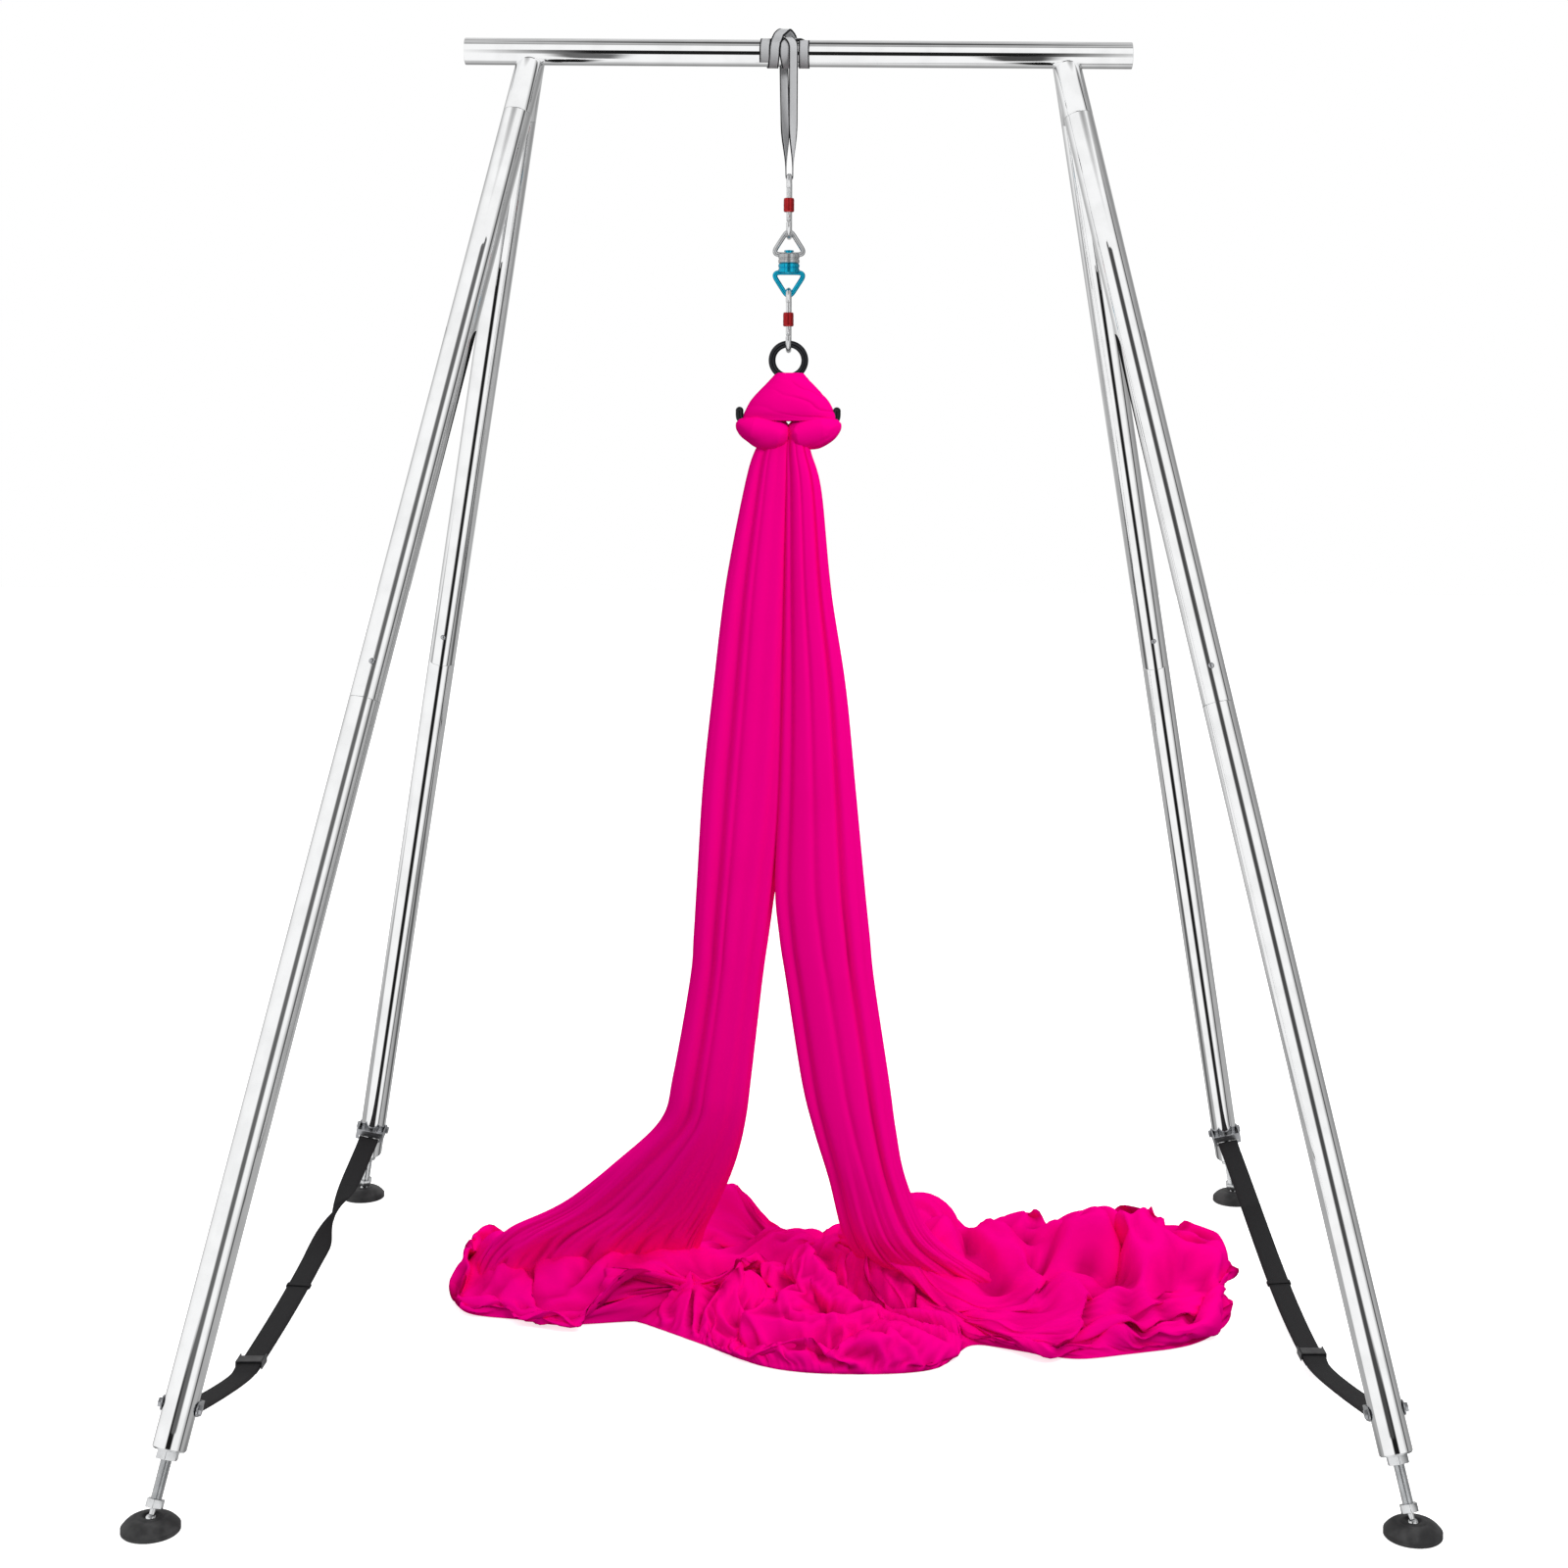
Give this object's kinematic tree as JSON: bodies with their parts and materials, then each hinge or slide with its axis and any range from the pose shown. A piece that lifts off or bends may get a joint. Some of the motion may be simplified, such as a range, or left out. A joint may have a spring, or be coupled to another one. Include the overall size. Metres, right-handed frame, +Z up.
{
  "type": "aerial rig",
  "caption": "Free-standing aerial rig: crossbar on splayed tube legs with levelling feet and side straps, with silk hung by a wound sling, carabiners, a swivel and a descender.",
  "frame": {"origin": "on the floor, under the middle of the stand", "axes": "+Z up, +X along the crossbar to the right, -Y is the front"},
  "size_m": [2.4684, 2.11, 2.9769],
  "materials": {
    "chrome_tube": "bright chrome plate on steel tube",
    "zinc_steel": "zinc plated steel",
    "pad_rubber": "matt black moulded rubber",
    "black_plastic": "matt black moulded plastic",
    "black_webbing": "flat woven black webbing",
    "grey_webbing": "flat woven grey webbing with dark edges",
    "silver_alloy": "polished alloy",
    "red_alloy": "red anodised alloy with a ribbed grip",
    "blue_alloy": "blue anodised alloy",
    "black_alloy": "black anodised alloy with a soft sheen",
    "pink_silk": "soft hot pink stretch fabric"
  },
  "bodies": {
    "stand": {"crossbar": "chrome_tube", "crossbar_cap_left": "black_plastic", "crossbar_cap_right": "black_plastic", "leg_socket_left": "chrome_tube", "leg_socket_right": "chrome_tube", "upper_leg_front_left": "chrome_tube", "upper_leg_rear_left": "chrome_tube", "upper_leg_front_right": "chrome_tube", "upper_leg_rear_right": "chrome_tube", "lower_leg_front_left": "chrome_tube", "lower_leg_rear_left": "chrome_tube", "lower_leg_front_right": "chrome_tube", "lower_leg_rear_right": "chrome_tube", "leg_end_nut_front_left": "zinc_steel", "leg_end_nut_rear_left": "zinc_steel", "leg_end_nut_front_right": "zinc_steel", "leg_end_nut_rear_right": "zinc_steel", "strap_bracket_front_left": "zinc_steel", "strap_bracket_rear_left": "zinc_steel", "strap_bracket_front_right": "zinc_steel", "strap_bracket_rear_right": "zinc_steel", "bracket_bolt_front_left": "zinc_steel", "bracket_bolt_rear_left": "zinc_steel", "bracket_bolt_front_right": "zinc_steel", "bracket_bolt_rear_right": "zinc_steel", "strap_long_left": "black_webbing", "strap_long_right": "black_webbing", "strap_short_left": "black_webbing", "strap_short_right": "black_webbing", "strap_buckle_left": "zinc_steel", "strap_buckle_right": "zinc_steel", "sling_winding": "grey_webbing"},
    "button_front_left": {"snap_button_front_left": "zinc_steel"},
    "button_rear_left": {"snap_button_rear_left": "zinc_steel"},
    "button_front_right": {"snap_button_front_right": "zinc_steel"},
    "button_rear_right": {"snap_button_rear_right": "zinc_steel"},
    "foot_front_left": {"foot_stud_front_left": "zinc_steel"},
    "foot_rear_left": {"foot_stud_rear_left": "zinc_steel"},
    "foot_front_right": {"foot_stud_front_right": "zinc_steel"},
    "foot_rear_right": {"foot_stud_rear_right": "zinc_steel"},
    "pad_front_left": {"foot_pad_front_left": "pad_rubber"},
    "pad_rear_left": {"foot_pad_rear_left": "pad_rubber"},
    "pad_front_right": {"foot_pad_front_right": "pad_rubber"},
    "pad_rear_right": {"foot_pad_rear_right": "pad_rubber"},
    "lever_left": {"buckle_lever_left": "black_plastic"},
    "lever_right": {"buckle_lever_right": "black_plastic"},
    "sling": {"sling_strands": "grey_webbing"},
    "top_hook": {"top_carabiner": "silver_alloy", "swivel_upper": "silver_alloy"},
    "top_gate": {"top_carabiner_gate": "silver_alloy"},
    "top_sleeve": {"top_carabiner_sleeve": "red_alloy"},
    "hanging_set": {"swivel_lower": "blue_alloy", "lower_carabiner": "silver_alloy", "descender": "black_alloy", "silk_wrap": "pink_silk", "silk_tail_left": "pink_silk", "silk_tail_right": "pink_silk", "silk_heap": "pink_silk"},
    "lower_gate": {"lower_carabiner_gate": "silver_alloy"},
    "lower_sleeve": {"lower_carabiner_sleeve": "red_alloy"}
  },
  "joints": [
    {"name": "foot_height_front_left", "type": "slide", "parent": "stand", "child": "foot_front_left", "axis": [-0.1859, -0.3244, -0.9275], "range_m": [-0.025, 0.02]},
    {"name": "foot_height_rear_left", "type": "slide", "parent": "stand", "child": "foot_rear_left", "axis": [-0.1859, 0.3244, -0.9275], "range_m": [-0.025, 0.02]},
    {"name": "foot_height_front_right", "type": "slide", "parent": "stand", "child": "foot_front_right", "axis": [0.1859, -0.3244, -0.9275], "range_m": [-0.025, 0.02]},
    {"name": "foot_height_rear_right", "type": "slide", "parent": "stand", "child": "foot_rear_right", "axis": [0.1859, 0.3244, -0.9275], "range_m": [-0.025, 0.02]},
    {"name": "pad_tilt_front_left", "type": "hinge", "parent": "foot_front_left", "child": "pad_front_left", "pos_m": [-1.18, -1, 0.021], "axis": [0.8677, -0.4972, 0], "range_deg": [-7, 7]},
    {"name": "pad_tilt_rear_left", "type": "hinge", "parent": "foot_rear_left", "child": "pad_rear_left", "pos_m": [-1.18, 1, 0.021], "axis": [0.8677, 0.4972, 0], "range_deg": [-7, 7]},
    {"name": "pad_tilt_front_right", "type": "hinge", "parent": "foot_front_right", "child": "pad_front_right", "pos_m": [1.18, -1, 0.021], "axis": [0.8677, 0.4972, 0], "range_deg": [-7, 7]},
    {"name": "pad_tilt_rear_right", "type": "hinge", "parent": "foot_rear_right", "child": "pad_rear_right", "pos_m": [1.18, 1, 0.021], "axis": [0.8677, -0.4972, 0], "range_deg": [-7, 7]},
    {"name": "button_press_front_left", "type": "slide", "parent": "stand", "child": "button_front_left", "axis": [-0.0637, 0.9459, -0.3181], "range_m": [0, 0.004], "stiffness_N_per_m": 800, "springref_m": -0.003},
    {"name": "button_press_rear_left", "type": "slide", "parent": "stand", "child": "button_rear_left", "axis": [0.0637, 0.9459, 0.3181], "range_m": [0, 0.004], "stiffness_N_per_m": 800, "springref_m": -0.003},
    {"name": "button_press_front_right", "type": "slide", "parent": "stand", "child": "button_front_right", "axis": [0.0637, 0.9459, -0.3181], "range_m": [0, 0.004], "stiffness_N_per_m": 800, "springref_m": -0.003},
    {"name": "button_press_rear_right", "type": "slide", "parent": "stand", "child": "button_rear_right", "axis": [-0.0637, 0.9459, 0.3181], "range_m": [0, 0.004], "stiffness_N_per_m": 800, "springref_m": -0.003},
    {"name": "lever_lift_left", "type": "hinge", "parent": "stand", "child": "lever_left", "pos_m": [-1.1494, -0.35433, 0.0776], "axis": [-1, 0, 0], "range_deg": [0, 70]},
    {"name": "lever_lift_right", "type": "hinge", "parent": "stand", "child": "lever_right", "pos_m": [1.1494, -0.20033, 0.0456], "axis": [-1, 0, 0], "range_deg": [0, 70]},
    {"name": "sling_swing", "type": "hinge", "parent": "stand", "child": "sling", "pos_m": [-0.02, 0, 2.92], "axis": [1, 0, 0], "range_deg": [-8, 8], "deforming": ["sling_strands"]},
    {"name": "hook_level", "type": "hinge", "parent": "sling", "child": "top_hook", "pos_m": [-0.02, 0, 2.644], "axis": [1, 0, 0], "range_deg": [-8, 8], "deforming": ["sling_strands"]},
    {"name": "top_gate_open", "type": "hinge", "parent": "top_hook", "child": "top_gate", "pos_m": [-0.02, -0.036, 2.5441], "axis": [-1, 0, 0], "range_deg": [0, 25], "stiffness_Nm_per_rad": 0.3, "springref_deg": -22.92},
    {"name": "top_sleeve_slide", "type": "slide", "parent": "top_gate", "child": "top_sleeve", "axis": [0, 0, 1], "range_m": [-0.009, 0.02]},
    {"name": "swivel_spin", "type": "hinge", "parent": "top_hook", "child": "hanging_set", "pos_m": [-0.02, 0, 2.4485], "axis": [0, 0, 1], "continuous": true},
    {"name": "lower_gate_open", "type": "hinge", "parent": "hanging_set", "child": "lower_gate", "pos_m": [-0.02, -0.036, 2.2884], "axis": [-1, 0, 0], "range_deg": [0, 25], "stiffness_Nm_per_rad": 0.3, "springref_deg": -22.92},
    {"name": "lower_sleeve_slide", "type": "slide", "parent": "lower_gate", "child": "lower_sleeve", "axis": [0, 0, 1], "range_m": [-0.009, 0.02]}
  ],
  "couplings": [
    {"joint": "hook_level", "follows": "sling_swing", "ratio": -1}
  ]
}
